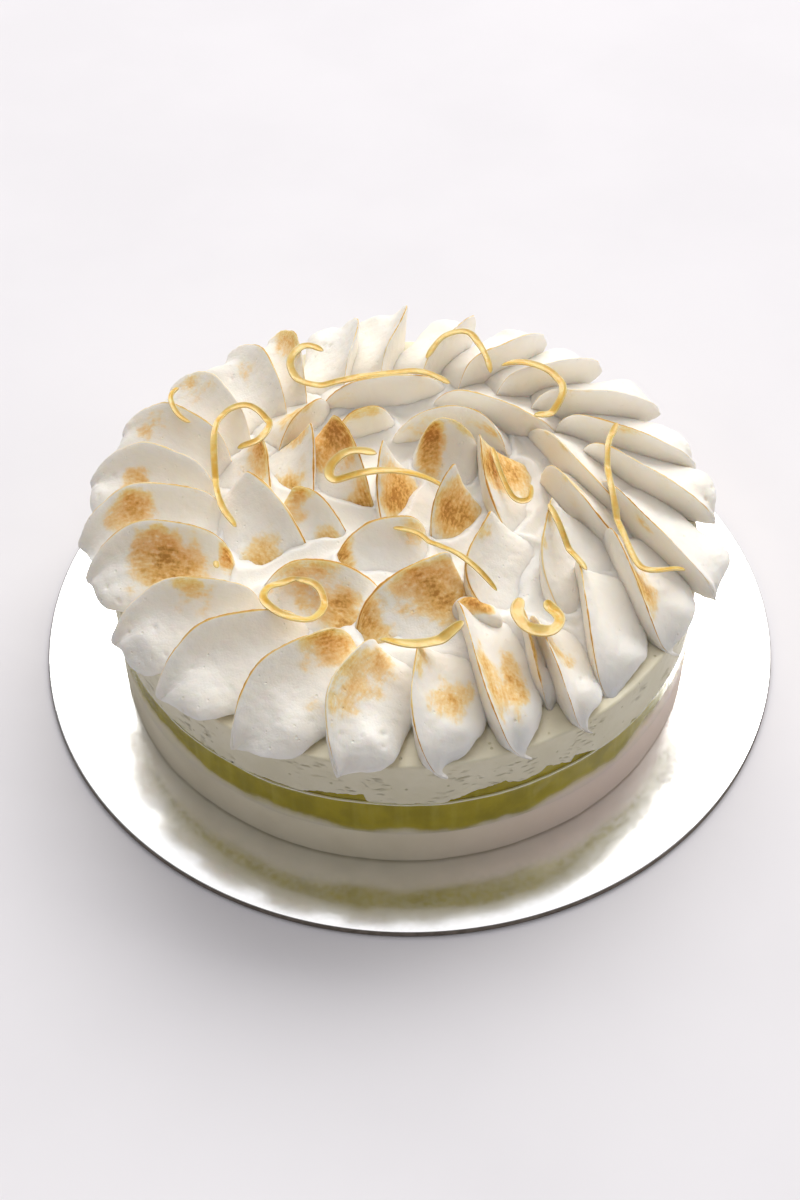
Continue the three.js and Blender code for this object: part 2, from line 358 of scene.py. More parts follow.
def curd_finish():
    """Clear set lemon curd: deep olive gold, cloudy where it has soaked into the base below, and painted
    paler along its top edge as a painted highlight.
    """
    material, tree, surface = finish("lemon curd", Subsurface_Weight=0.35, Subsurface_Scale=0.006,
                                     Subsurface_Radius=(1.0, 0.8, 0.05), Coat_Weight=0.06,
                                     Coat_Roughness=0.2)
    where = position(tree)
    deep = use(tree, mottle, Color=(0.45, 0.36, 0.008, 1), Other_Color=(0.35, 0.28, 0.004, 1),
               Scale=120.0, Amount=1.0).outputs["Color"]
    streaks = speckle(tree, 260, 2.0, stretch=(1, 1, 0.05))
    deep = blend_colours(tree, span(tree, streaks, 0.45, 0.75, 0.0, 0.35), deep, (0.58, 0.5, 0.07, 1))
    lift = around(tree, speckle(tree, 40, 2.0), 0.012)
    lift = calc(tree, "ADD", lift, around(tree, streaks, 0.0018))
    height = calc(tree, "ADD", where["Z"], lift)
    aside = calc(tree, "ABSOLUTE", where["X"])
    height = calc(tree, "SUBTRACT", height, span(tree, aside, 0.02, 0.085, 0.0, 4 * MM))
    soaked = span(tree, height, curd_low.z - 0.5 * MM, curd_low.z + 3.5 * MM, 1.0, 0.0)
    side = span(tree, where["X"], *PINK_SIDE)
    foot = blend_colours(tree, side, (0.8, 0.71, 0.5, 1), (0.88, 0.71, 0.56, 1))
    colour = blend_colours(tree, soaked, deep, foot)
    # The rim attribute marks the raised line along the top edge; the paler colour blended in there is a
    # painted highlight.
    rim = add(tree, "Attribute", attribute_name="rim").outputs["Fac"]
    colour = blend_colours(tree, rim, colour, (0.8, 0.76, 0.55, 1))
    tree.links.new(colour, surface.inputs["Base Color"])
    tree.links.new(span(tree, soaked, 0.0, 1.0, 0.22, 0.5), surface.inputs["Roughness"])
    raise_bumps(tree, surface, speckle(tree, 260, 3.0, stretch=(1, 1, 0.6)), 0.6 * MM, 0.5)
    return material


def foil_finish():
    """Silver foil laid on card, softly crinkled."""
    material, tree, surface = finish("silver foil", Metallic=1.0)
    colour = use(tree, mottle, Color=(0.9, 0.9, 0.89, 1), Other_Color=(0.84, 0.85, 0.84, 1),
                 Scale=140.0, Amount=0.5).outputs["Color"]
    tree.links.new(colour, surface.inputs["Base Color"])
    tree.links.new(span(tree, speckle(tree, 500, 4.0), 0.3, 0.7, 0.16, 0.22), surface.inputs["Roughness"])
    raise_bumps(tree, surface, speckle(tree, 420, 3.0), 0.03 * MM, 0.2)
    return material


def card_finish():
    """The bare edge and underside of the grey-brown board."""
    material, tree, surface = finish("board edge", Roughness=0.8)
    colour = use(tree, mottle, Color=(0.16, 0.13, 0.1, 1), Other_Color=(0.25, 0.21, 0.17, 1),
                 Scale=400.0, Amount=0.8).outputs["Color"]
    tree.links.new(colour, surface.inputs["Base Color"])
    return material


def peel_finish():
    """Candied lemon peel: clear yellow, painted paler along its raised edges as a painted highlight."""
    material, tree, surface = finish("candied peel", Subsurface_Weight=0.3, Subsurface_Scale=0.002,
                                     Subsurface_Radius=(1.0, 0.7, 0.2), Transmission_Weight=0.3,
                                     IOR=1.4, Coat_Weight=0.5, Coat_Roughness=0.12)
    # The rim attribute marks the raised edge corners; the paler colour mixed in there is a painted
    # highlight.
    edge = add(tree, "Attribute", attribute_name="rim").outputs["Fac"]
    flesh = use(tree, mottle, Color=(0.92, 0.55, 0.06, 1), Other_Color=(0.95, 0.7, 0.2, 1),
                Scale=330.0, Amount=0.9).outputs["Color"]
    colour = blend_colours(tree, calc(tree, "MULTIPLY", edge, 0.5), flesh, (0.97, 0.84, 0.48, 1))
    tree.links.new(colour, surface.inputs["Base Color"])
    pores = use(tree, grain, Scale=1500.0, Hole_Scale=900.0, Holes=0.5)
    tree.links.new(span(tree, pores.outputs["Height"], 0.0, 0.3, 0.3, 0.42), surface.inputs["Roughness"])
    raise_bumps(tree, surface, pores.outputs["Height"], 0.2 * MM, 0.5)
    return material


def floor_finish():
    """The plain pale floor, with a drift that hardly shows."""
    material, tree, surface = finish("pale floor", Roughness=0.75, Specular_IOR_Level=0.1)
    colour = use(tree, mottle, Color=(0.84, 0.822, 0.845, 1), Other_Color=(0.81, 0.792, 0.815, 1),
                 Scale=9.0, Amount=0.8).outputs["Color"]
    tree.links.new(colour, surface.inputs["Base Color"])
    return material


meringue = meringue_finish()
cream = cream_finish()
base = base_finish()
curd = curd_finish()
foil = foil_finish()
board = card_finish()
peel = peel_finish()

# ----- The card and the three layers -----


def round_corner(distance, height, radius, start, end, steps=4):
    """Points on a quarter circle about (distance, height), in the profile's own plane."""
    turns = [math.radians(start + (end - start) * step / steps) for step in range(steps + 1)]
    return [(distance + radius * math.cos(turn), height + radius * math.sin(turn)) for turn in turns]


def make_card():
    """The round board with a soft edge; its side and underside are bare."""
    rounding = 0.5 * MM
    thickness = card_high.z - card_low.z
    inner = card_radius - rounding
    bm = bmesh.new()
    profile = [(0, thickness)]
    profile += [(inner * share, thickness) for share in (0.3, 0.6, 0.8, 0.93)]
    profile += round_corner(inner, thickness - rounding, rounding, 90, 0)
    profile += round_corner(inner, rounding, rounding, 0, -90)
    profile += [(inner * share, 0) for share in (0.93, 0.5)]
    profile += [(0, 0)]
    centre = (card_low + card_high) / 2
    centre.z = card_low.z
    turn_round(bm, profile, centre, 256)
    for face in bm.faces:
        if face.calc_center_median().z < card_high.z - 0.3 * rounding:
            face.material_index = 1
    card = add_piece(bm, "foil_faced_card", foil, "foil_card", "foil_card")
    card.data.materials.append(board)


def base_dent(point):
    """The step from the base's full round to its side, in millimetres; below nought is inward."""
    return 0.35 * ruffle(point, 22 * MM) + 0.12 * ruffle(point, 5 * MM, 3) - 0.35


def make_base():
    """The set base: a crisp top edge, a rounded foot and a side that is a little uneven."""
    foot = 1.2 * MM
    rows = 24
    height = base_high.z - base_low.z
    bm = bmesh.new()
    profile = [(0, height), (base_radius * 0.6, height)]
    profile += [(base_radius - 0.8 * MM, height), (base_radius - 0.1 * MM, height)]
    profile += [(base_radius, height - 0.1 * MM), (base_radius, height - 0.35 * MM)]
    profile += [(base_radius, height - height * row / rows) for row in range(1, rows - 1)]
    profile += round_corner(base_radius - foot, foot, foot, 0, -90)
    profile += [(base_radius * 0.6, 0), (0, 0)]
    turn_round(bm, profile, axis + Vector((0, 0, base_low.z)), 360)
    for vert in bm.verts:
        outward = level(vert.co - axis)
        if outward.length > base_radius * 0.9:
            vert.co += outward.normalized() * base_dent(vert.co) * MM
    add_piece(bm, "set_base", base, "base", "base_layer")


def make_curd():
    """The clear layer: a fine raised line at its top edge, and a collar above it that shows where the
    cream's lip is torn. Its foot flares out to the base."""
    height = curd_high.z - curd_low.z
    bead = 0.28 * MM
    side = curd_radius - 0.5 * MM
    flare = base_radius - side
    rows = 18
    collar = side - 0.7 * MM
    collar_rise = 8 * MM
    collar_rows = 16
    under = -0.3 * MM
    bm = bmesh.new()
    # The rim layer carries the mask for the painted highlight along the top edge.
    rim = bm.verts.layers.float.new("rim")
    profile = [(0, height + collar_rise), (side * 0.9, height + collar_rise)]
    profile += [(collar, height + collar_rise * (1 - row / collar_rows)) for row in range(collar_rows)]
    profile += [(collar + 0.2 * MM, height)]
    profile += round_corner(side - bead * 0.4, height - bead * 0.6, bead, 120, -30, 5)
    profile += [(side + flare * (row / rows) ** 2, height * (1 - row / rows)) for row in range(1, rows)]
    profile += [(base_radius, 0.25 * MM), (base_radius, 0)]
    profile += [(side, under), (side * 0.6, under), (0, under)]
    turn_round(bm, profile, axis + Vector((0, 0, curd_low.z)), 480)
    for vert in bm.verts:
        outward = level(vert.co - axis)
        if outward.length > side * 0.95:
            sag = 0.3 * ruffle(vert.co, 14 * MM, 5) + 0.12 * ruffle(vert.co, 4 * MM, 6)
            share = smooth(curd_low.z + 5 * MM, curd_low.z, vert.co.z)
            vert.co += outward.normalized() * (sag * (1 - share) + base_dent(vert.co) * share) * MM
            drift = 0.5 * ruffle(outward.normalized(), 0.35, 8)
            vert.co.z += drift * MM * smooth(curd_low.z + height * 0.8, curd_high.z, vert.co.z)
        # The rim value marks the top of the raised line, where the curd is painted paler as a painted
        # highlight.
        vert[rim] = smooth(side - 0.5 * MM, side - 0.25 * MM, outward.length) * smooth(
            curd_high.z - 0.7 * MM, curd_high.z - 0.45 * MM, vert.co.z)
    add_piece(bm, "lemon_curd", curd, "curd", "curd_layer")


# How far the cream's torn lower lip hangs above the curd, in millimetres, at a few angles round the cake.
LIP_HEIGHTS = [
    (0, 0.8), (24, 2.4), (24.5, 0.7), (66, 2.0), (66.5, 0.5), (108, 2.6), (108.5, 0.8), (150, 1.8),
    (150.5, 0.5), (196, 1.4), (196.5, 0.4), (231, 1.2), (251, 0.6), (254, 2.8), (262.5, 4.8), (263, 1.4),
    (277, 0.6), (282, 4.4), (288, 6.0), (288.6, 4.6), (291.5, 3.4), (295.4, 4.8), (296, 6.2), (301.4, 2.6),
    (302, 5.0), (309, 0.3), (316, 0.4), (316.6, 2.0), (320, 0.4), (338, 1.6), (338.5, 0.6), (360, 0.8),
]


def lip_height(outward):
    """The lip runs evenly from one of its angles to the next, and is nibbled all along."""
    heading = outward.normalized()
    degrees = math.degrees(math.atan2(heading.y, heading.x)) % 360
    for (start, low), (end, high) in zip(LIP_HEIGHTS, LIP_HEIGHTS[1:]):
        if start <= degrees <= end:
            hang = low + (high - low) * (degrees - start) / (end - start)
    nibbles = 0.5 * ruffle(heading, 0.03, 14) + 0.35 * ruffle(heading, 0.012, 19)
    return max(0.15, hang + nibbles) * MM


def make_cream():
    """The cream layer: a torn lip over a shallow recess, a pitted side and a soft top edge."""
    height = cream_high.z - cream_low.z
    rows = 46
    top_edge = 0.9 * MM
    recess = 2.6 * MM
    radius = cake_radius - 0.3 * MM
    wall_top = height - top_edge
    pit_length = 2.4 * MM
    pit_height = 0.7 * MM
    bm = bmesh.new()
    profile = [(0, height), (radius * 0.4, height), (radius * 0.6, height), (radius * 0.8, height)]
    profile += [(radius * 0.88, height), (radius - 3 * top_edge, height)]
    profile += round_corner(radius - top_edge, wall_top, top_edge, 90, 0)
    profile += [(radius, wall_top * (1 - row / rows)) for row in range(1, rows + 1)]
    profile += [(radius - 0.5 * recess, 0), (radius - recess, 0), (radius * 0.6, 0), (0, 0)]
    turn_round(bm, profile, axis + Vector((0, 0, cream_low.z)), 760)
    for vert in bm.verts:
        outward = level(vert.co - axis)
        up = vert.co.z - cream_low.z
        if outward.length < radius - recess * 0.75:
            continue
        if up < wall_top:
            raised = lip_height(outward)
            if outward.length < radius - 0.1 * MM:
                raised *= 1.15      # the recess behind the lip runs a little higher
            vert.co.z += raised * (1 - up / wall_top)
        heading = outward.normalized()
        along_wall = Vector((heading.x * radius / pit_length, heading.y * radius / pit_length,
                             up / pit_height))
        pit = smooth(0.38, 0.52, noise.noise(along_wall)) * smooth(-0.05, 0.2, ruffle(vert.co, 16 * MM, 17))
        swell = 0.35 * ruffle(vert.co, 30 * MM, 15) + 0.12 * ruffle(vert.co, 3.5 * MM, 16)
        vert.co += heading * (swell - 0.3 - 1.1 * pit * smooth(0, 0.1, 1 - up / height)) * MM
    add_piece(bm, "cream_layer_torn_lip", cream, "cream", "cream_layer")


# ----- The piped petals -----

# The section of a petal, drawn from the crest down its broad face, under its foot and up its steep side:
# across as part of the foot's width, up as part of the crest's height.
PETAL_OUTLINE = [
    (-0.07, 1.0), (-0.015, 0.9), (0.07, 0.77), (0.17, 0.65), (0.29, 0.555), (0.43, 0.475), (0.59, 0.405),
    (0.75, 0.325), (0.88, 0.225), (0.965, 0.11), (0.93, 0.02), (0.78, 0.0), (0.4, 0.0), (0.0, 0.0),
    (-0.03, 0.015), (-0.045, 0.12), (-0.055, 0.32), (-0.07, 0.56), (-0.09, 0.8), (-0.1, 0.93),
    (-0.098, 1.0), (-0.084, 1.008),
]
# The inner petals stand straighter at the crest, and their face runs out in a hollow slope into the bed.
SKIRT_OUTLINE = [
    (-0.046, 1.0), (0.0, 0.91), (0.085, 0.78), (0.19, 0.65), (0.31, 0.535), (0.44, 0.43), (0.59, 0.325),
    (0.78, 0.22), (0.98, 0.12), (1.15, 0.04), (1.1, 0.0), (0.85, 0.0), (0.4, 0.0), (0.0, 0.0),
    (-0.06, 0.0), (-0.06, 0.1), (-0.065, 0.3), (-0.075, 0.55), (-0.08, 0.8), (-0.08, 0.93),
    (-0.074, 1.0), (-0.06, 1.008),
]
FACE_CORNERS = 10       # corners 0 to 9 run down the face
STEEP_CORNERS = range(15, 21)
CREST_CORNER = 21
SECTION_CORNERS = len(PETAL_OUTLINE)
CORNER_SPACING = 1.9 * MM       # from one corner to the next, on the map that the fibres follow
PETAL_STEPS = 22
RIM_REACH = 80          # a stroke whose tip lies farther out than this, in millimetres, ends at the rim
CROWN_REACH = 60        # and one whose tip lies no farther out than this belongs to the crown
FRONT_ANGLE = 303       # the rim petals about this angle end in a point

# Every petal is one stroke of the bag, as in the frame: the angle and distance of its heel and of its
# tip from the cake's axis, the foot's width, and how far it bows out on its steep side.
RIM_STROKES = [
    (275, 58, 277, 101, 20, 5), (291, 44, 292, 101, 18, 5), (309, 56, 301, 90, 9, 3),
    (308, 62, 304, 101, 14, 3), (336, 60, 312, 98, 18, 3), (350, 66, 328, 101, 20, 4),
    (9, 64, 343, 102, 20, 4), (25, 66, 2, 101, 20, 4), (38, 66, 16, 101, 20, 4), (49, 66, 32, 103, 20, 4),
    (61, 65, 48, 103, 20, 4), (73, 65, 61, 103, 19, 4), (85, 64, 76, 102, 18, 4), (98, 62, 91, 104, 18, 4),
    (110, 62, 102, 101, 17, 4), (124, 60, 118, 102, 17, 4), (132, 60, 127, 103, 19, 4),
    (147, 62, 141, 104, 20, 4), (158, 62, 155, 105, 20, 4), (172, 62, 169, 105, 20, 5),
    (180, 58, 184, 104, 20, 6), (202, 58, 193, 102, 20, 6), (224, 60, 209, 101, 20, 6),
    (240, 58, 224, 101, 21, 6), (255, 57, 241, 101, 21, 6), (263, 58, 259, 100, 20, 6),
]
MIDDLE_STROKES = [
    (301, 33, 255, 57, 24, 5), (342, 31, 303, 55, 20, 9), (357, 49, 320, 66, 20, 5),
    (18, 48, 349, 74, 20, 3), (43, 58, 357, 77, 20, 5), (80, 56, 37, 68, 21, 6), (120, 60, 78, 68, 21, 6),
    (145, 53, 117, 60, 20, 3), (172, 45, 150, 60, 18, 2), (213, 36, 170, 56, 22, 1),
    (262, 37, 217, 58, 22, 4),
]
CROWN_STROKES = [
    (303, 16, 227, 34, 20, 4), (45, 36, 343, 38, 19, 4), (98, 35, 34, 44, 15, -7), (126, 42, 94, 44, 16, 2),
    (171, 31, 136, 46, 17, 1), (216, 21, 182, 39, 18, 3), (38, 35, 82, 21, 15, 4), (105, 21, 238, 10, 15, 2),
    (22, 20, 301, 19, 14, 2), (200, 10, 129, 43, 18, 2),
]

# Where the torch played on each petal: how far along it, how far down the face from the crest (below
# nought on the steep side), the reach of the mark each way and how deep it browned.
TORCH_MARKS = {
    "rim_petal_01": [(0.5, 0.5, 0.25, 0.3, 0.62), (0.3, 0.1, 0.3, 0.15, 0.45)],
    "rim_petal_02": [(0.6, 0.2, 0.24, 0.17, 0.75), (0.62, 0.58, 0.22, 0.18, 0.85)],
    "rim_petal_03": [(0.5, 0.0, 0.45, 0.22, 1.0)],
    "rim_petal_04": [(0.42, 0.3, 0.2, 0.35, 0.6)],
    "rim_petal_06": [(0.65, 0.1, 0.2, 0.35, 0.75)],
    "rim_petal_07": [(0.53, -0.5, 0.1, 0.2, 0.4)],
    "rim_petal_08": [(0.4, -0.1, 0.3, 0.2, 0.4)],
    "rim_petal_09": [(0.5, -0.2, 0.35, 0.3, 0.35)],
    "rim_petal_10": [(0.4, -0.1, 0.3, 0.25, 0.35)],
    "rim_petal_11": [(0.6, 0.0, 0.3, 0.2, 0.35)],
    "rim_petal_13": [(0.55, 0.2, 0.3, 0.3, 0.5)],
    "rim_petal_14": [(0.7, 0.1, 0.25, 0.3, 0.35)],
    "rim_petal_16": [(0.7, 0.0, 0.3, 0.4, 0.7)],
    "rim_petal_17": [(0.62, 0.4, 0.2, 0.2, 0.4)],
    "rim_petal_18": [(0.75, 0.2, 0.22, 0.35, 0.45)],
    "rim_petal_19": [(0.75, 0.3, 0.18, 0.3, 0.45)],
    "rim_petal_20": [(0.63, 0.45, 0.16, 0.22, 0.6)],
    "rim_petal_21": [(0.66, 0.3, 0.2, 0.35, 0.75)],
    "rim_petal_22": [(0.5, 0.45, 0.3, 0.42, 0.85), (0.05, 0.2, 0.06, 0.3, 0.9)],
    "rim_petal_23": [(0.5, 0.15, 0.18, 0.36, 0.45)],
    "rim_petal_25": [(0.2, 0.08, 0.22, 0.35, 0.95), (0.57, 0.72, 0.12, 0.14, 0.4),
                     (0.4, 0.3, 0.2, 0.3, 0.25)],
    "rim_petal_26": [(0.4, 0.2, 0.36, 0.42, 0.62), (0.62, 0.1, 0.3, 0.2, 0.4)],
    "middle_petal_01": [(0.84, 0.1, 0.16, 0.45, 0.85), (0.3, 0.3, 0.28, 0.42, 0.85),
                        (0.58, 0.15, 0.3, 0.3, 0.3)],
    "middle_petal_02": [(0.28, 0.0, 0.18, 0.2, 0.45), (0.6, -0.1, 0.4, 0.12, 0.6)],
    "middle_petal_03": [(0.45, -0.2, 0.3, 0.4, 0.5)],
    "middle_petal_04": [(0.35, 0.0, 0.3, 0.22, 0.6)],
    "middle_petal_05": [(0.3, -0.1, 0.25, 0.2, 0.5)],
    "middle_petal_06": [(0.55, 0.0, 0.3, 0.2, 0.4)],
    "middle_petal_07": [(0.3, 0.1, 0.25, 0.25, 0.5)],
    "middle_petal_08": [(0.4, 0.1, 0.3, 0.45, 0.6)],
    "middle_petal_09": [(0.6, 0.1, 0.35, 0.4, 0.65)],
    "middle_petal_10": [(0.25, 0.55, 0.22, 0.32, 0.7), (0.06, 0.1, 0.07, 0.3, 0.8)],
    "middle_petal_11": [(0.33, 0.5, 0.17, 0.32, 0.9), (0.68, 0.05, 0.35, 0.3, 0.55),
                        (0.5, 0.3, 0.4, 0.4, 0.35)],
    "crown_petal_01": [(0.86, 0.1, 0.14, 0.4, 0.8), (0.18, 0.15, 0.25, 0.3, 0.45)],
    "crown_petal_02": [(0.35, 0.3, 0.32, 0.55, 0.85)],
    "crown_petal_03": [(0.25, -0.6, 0.3, 0.2, 0.32), (0.8, -0.5, 0.25, 0.2, 0.38)],
    "crown_petal_04": [(0.5, -0.2, 0.5, 0.25, 0.5)],
    "crown_petal_05": [(0.3, 0.45, 0.28, 0.32, 0.65), (0.9, 0.2, 0.2, 0.4, 0.6)],
    "crown_petal_06": [(0.25, 0.5, 0.22, 0.35, 0.75), (0.85, 0.15, 0.25, 0.35, 0.65)],
    "crown_petal_07": [(0.72, 0.2, 0.2, 0.4, 1.0), (0.3, 0.0, 0.3, 0.15, 0.5)],
    "crown_petal_08": [(0.55, 0.4, 0.36, 0.42, 0.95)],
    "crown_petal_09": [(0.5, 0.38, 0.4, 0.42, 1.0)],
    "crown_petal_10": [(0.75, 0.1, 0.28, 0.55, 0.95), (0.14, 0.25, 0.18, 0.45, 0.9)],
}

# Where along its stroke an inner petal stands highest: a few rise at the heel, a few at the tip.
CREST_PEAKS = {
    "middle_petal_01": 0.13, "middle_petal_02": 0.14, "middle_petal_03": 0.14, "middle_petal_04": 0.3,
    "middle_petal_09": 0.75, "middle_petal_10": 0.84, "crown_petal_01": 0.28, "crown_petal_02": 0.2,
    "crown_petal_05": 0.8, "crown_petal_06": 0.86, "crown_petal_08": 0.16, "crown_petal_09": 0.16,
    "crown_petal_10": 0.82,
}
INNER_PEAK = 0.5
# For the rim petals: the peak of the crest along the stroke, and how blunt its heel and its tip are.
RIM_CREST = (0.55, 6, 1.9)


def crest_shape(node):
    """The same three numbers for any petal."""
    if node.startswith("rim"):
        return RIM_CREST
    peak = CREST_PEAKS.get(node, INNER_PEAK)
    return peak, 2 + 1.2 * smooth(0.6, 0.3, peak), 2 + 1.2 * smooth(0.4, 0.7, peak)


def fullness(along, peak, heel, tip):
    """The share of its full size that a petal has at a share of its length: full at the peak and blunt
    at both ends, the more so the higher the number for that end."""
    if along < peak:
        return (1 - ((peak - along) / peak) ** heel) ** 0.5
    return (1 - ((along - peak) / (1 - peak)) ** tip) ** 0.5


def pointedness(stroke):
    """One where the bag was pulled away at the rim into a small point, nought where a petal ends round."""
    if stroke[3] < RIM_REACH:
        return 0
    return smooth(0.75, 0.95, math.cos(math.radians(stroke[2] - FRONT_ANGLE)))


def frontness(stroke):
    """One for a petal whose tip is at the front, down to minus one at the back; one all over the crown."""
    return -math.sin(math.radians(stroke[2])) if stroke[3] > CROWN_REACH else 1


def petal_place(stroke, crest, shape, along):
    """The matrix that stands the unit section on the deck at a share of the stroke's length."""
    heel_angle, heel_distance, tip_angle, tip_distance, foot, bow = stroke
    heel = polar(heel_distance * MM, heel_angle)
    tip = polar(tip_distance * MM, tip_angle)
    forward = (tip - heel).normalized()
    across = Vector((-forward.y, forward.x, 0))
    point = pointedness(stroke)
    spread = 1.12 if tip_distance > RIM_REACH else 1.4
    body = min(along / (1 - 0.07 * point), 0.9999)
    nib = point * (1 - smooth(0.9, 1.0, along))
    width = spread * foot * MM * max(fullness(body, 0.55, 4.5, 4.6 - 1.8 * point), 0.36 * nib)
    rise = crest * max(fullness(body, *shape), 0.2 * nib)
    bowed = bow * 27 / 4 * along ** 2 * (1 - along)     # all of the bow at two thirds of the way
    hooked = 0.3 * foot * point * (along ** 3 - along ** 24)
    middle = heel.lerp(tip, along) - across * (bowed + hooked) * MM
    middle.z = deck - 1.6 * MM * point * along ** 12
    return stand((forward, across * width, Vector((0, 0, rise)), middle))


def torched(marks, along, down):
    """How browned a point of a petal is: faintly near its crest, and by each mark that reaches it."""
    total = 0.16 * (1 - down) if down > 0 else 0.2 * (1 + 0.5 * down)
    for mark_along, mark_down, reach_along, reach_down, depth in marks:
        off = math.hypot((along - mark_along) / reach_along, (down - mark_down) / reach_down)
        total = max(total, depth * (1 - smooth(0.0, 1.6, off)))
    return total


def lumps(name, size):
    """Clouds whose lumps are as wide as size, to lift a surface by."""
    made = bpy.data.textures.new(name, "CLOUDS")
    made.noise_scale = size
    made.noise_depth = 2
    return made


def bubble_pits(name, size):
    """Level all over but for round pits, where bubbles broke at the surface."""
    made = bpy.data.textures.new(name, "VORONOI")
    made.noise_scale = size
    made.use_color_ramp = True
    band = made.color_ramp
    for element, place, shade in zip(band.elements, (0.08, 0.2), (0.0, 0.5)):
        element.position = place
        element.color = (shade, shade, shade, 1)
    return made


broad_lumps = lumps("broad lumps", 5 * MM)
fine_lumps = lumps("fine lumps", 1.8 * MM)
pits = bubble_pits("bubble pits", 4 * MM)


def roughen(piece):
    """Gives a rounded piece the small lumps of whipped egg white, and pits where its group says."""
    for texture, height, group in ((broad_lumps, 0.5 * MM, ""), (fine_lumps, 0.38 * MM, ""),
                                   (pits, 2.0 * MM, "pitted")):
        relief = piece.modifiers.new(texture.name, "DISPLACE")
        relief.texture = texture
        relief.texture_coords = "LOCAL"
        relief.mid_level = 0.5
        relief.strength = height
        relief.vertex_group = group


def stroke_shares():
    """Where along a stroke its sections stand: close together at both ends and wider in the middle."""
    gap = 0.06
    return [0.5 - 0.5 * math.cos(math.pi * (step + gap) / (PETAL_STEPS + 2 * gap))
            for step in range(PETAL_STEPS + 1)]


def rim_end(place, section, along, stroke, seed):
    """At a rim petal's outer end: how far its foot runs out in a frill and how far its broad side is
    lifted, in millimetres."""
    aside, up = section
    point = pointedness(stroke)
    frill = 1.0 + 1.6 * smooth(0.2, 0.8, frontness(stroke))
    frill *= smooth(0.5, 0.85, along) * smooth(0.45, 0.15, up)
    out = frill * ruffle(place, 6 * MM, seed + 31)
    out += 3.0 * (1 - point) * smooth(0.8, 1.0, along) * smooth(0.25, 0.05, abs(aside))
    lift = smooth(0.6, 0.9, along) * smooth(0.1, 0.5, aside)
    lift *= smooth(-0.4, 0.1, ruffle(place, 11 * MM, seed + 40))
    return out, 2.8 * lift * (1 - point * smooth(0.9, 1.0, along))


def slump(vert, section, along, stroke, forward, seed):
    """Moves a vertex of a petal as soft meringue gives: out at the tip, and unevenly all over."""
    up = section[1]
    at_rim = stroke[3] > RIM_REACH
    nose = (1.4 if at_rim else 3) * (1 - 0.6 * pointedness(stroke)) * along ** 4 * 4 * up * (1 - up)
    if at_rim:
        out, lift = rim_end(vert.co, section, along, stroke, seed)
        nose += out
        vert.co.z += lift * MM
    vert.co += forward * nose * MM
    swell = 0.5 * ruffle(vert.co, 13 * MM, seed) + 0.16 * ruffle(vert.co, 4 * MM, seed + 5)
    sideways = Vector((ruffle(vert.co, 15 * MM, seed + 9), ruffle(vert.co, 15 * MM, seed + 13), 0))
    vert.co += sideways * swell * MM
    vert.co.z += (0.6 * ruffle(vert.co, 9 * MM, seed + 21) - 0.2) * MM * up


def down_from_crest(corner):
    """A corner's place down the face, nought at the crest and one at the foot; below nought up the steep
    side."""
    if corner in STEEP_CORNERS:
        return (corner - CREST_CORNER) / len(STEEP_CORNERS)
    return min(corner, FACE_CORNERS - 1) / (FACE_CORNERS - 1)


def lay_flow(bm, shares, length, start, step_layer, corner_layer):
    """Maps a petal in metres, along its stroke and round its section, for the fibres to follow."""
    flow = bm.loops.layers.uv.new("flow")
    half = SECTION_CORNERS / 2
    for face in bm.faces:
        corners = [loop.vert[corner_layer] for loop in face.loops]
        wraps = max(corners) - min(corners) > half
        for loop, corner in zip(face.loops, corners):
            if wraps and corner < half:
                corner += SECTION_CORNERS
            loop[flow].uv = (shares[loop.vert[step_layer]] * length + start, corner * CORNER_SPACING)


def make_petal(name, node, stroke, seed):
    """One petal: drawn out along its stroke, slumped, and marked where it browned and where it pitted."""
    outline = PETAL_OUTLINE if node.startswith("rim") else SKIRT_OUTLINE
    shape = crest_shape(node)
    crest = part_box(node)[1].z - deck
    marks = TORCH_MARKS.get(node, [])
    line_depth = 1.1 + 0.7 * smooth(-0.6, 0.5, frontness(stroke))
    shares = stroke_shares()
    places = [petal_place(stroke, crest, shape, along) for along in shares]
    forward = places[0].col[0].xyz
    bm = bmesh.new()
    step_layer = bm.verts.layers.int.new("step")
    corner_layer = bm.verts.layers.int.new("corner")
    toast = bm.verts.layers.float.new("toast")
    line = bm.verts.layers.float.new("crest")
    pitted = bm.verts.layers.deform.new()
    draw_out(bm, outline, places, step_layer, corner_layer)
    for vert in bm.verts:
        along = shares[vert[step_layer]]
        corner = vert[corner_layer]
        slump(vert, outline[corner], along, stroke, forward, seed)
        in_sight = outline[corner][1] > 0.05
        vert[toast] = torched(marks, along, down_from_crest(corner)) if in_sight else 0
        on_face = smooth(2, 4, corner) * smooth(10, 8, corner) * smooth(0.35, 0.6, along)
        vert[pitted][0] = on_face * smooth(-0.2, 0.2, ruffle(vert.co, 11 * MM, seed + 50))
        vert[line] = line_depth if corner == CREST_CORNER and 0.02 < along < 0.97 else 0
    length = (polar(stroke[3] * MM, stroke[2]) - polar(stroke[1] * MM, stroke[0])).length
    lay_flow(bm, shares, length, seed, step_layer, corner_layer)
    petal = add_piece(bm, name, meringue, "meringue", node, levels=2)
    petal.vertex_groups.new(name="pitted")
    roughen(petal)
    return petal


def make_petals():
    """Every petal of the rim, of the middle ring and of the crown."""
    petals = []
    for ring, strokes in (("rim", RIM_STROKES), ("middle", MIDDLE_STROKES), ("crown", CROWN_STROKES)):
        for number, stroke in enumerate(strokes, 1):
            node = f"{ring}_petal_{number:02d}"
            petals.append(make_petal("piped_" + node, node, stroke, number * 1.7 + len(ring)))
    return petals


def ground_of(pieces):
    """The rounded surfaces of all the pieces as one, to lay things on or to measure from."""
    graph = bpy.context.evaluated_depsgraph_get()
    joined = bmesh.new()
    for piece in pieces:
        joined.from_mesh(piece.evaluated_get(graph).to_mesh())
    ground = BVHTree.FromBMesh(joined)
    joined.free()
    return ground


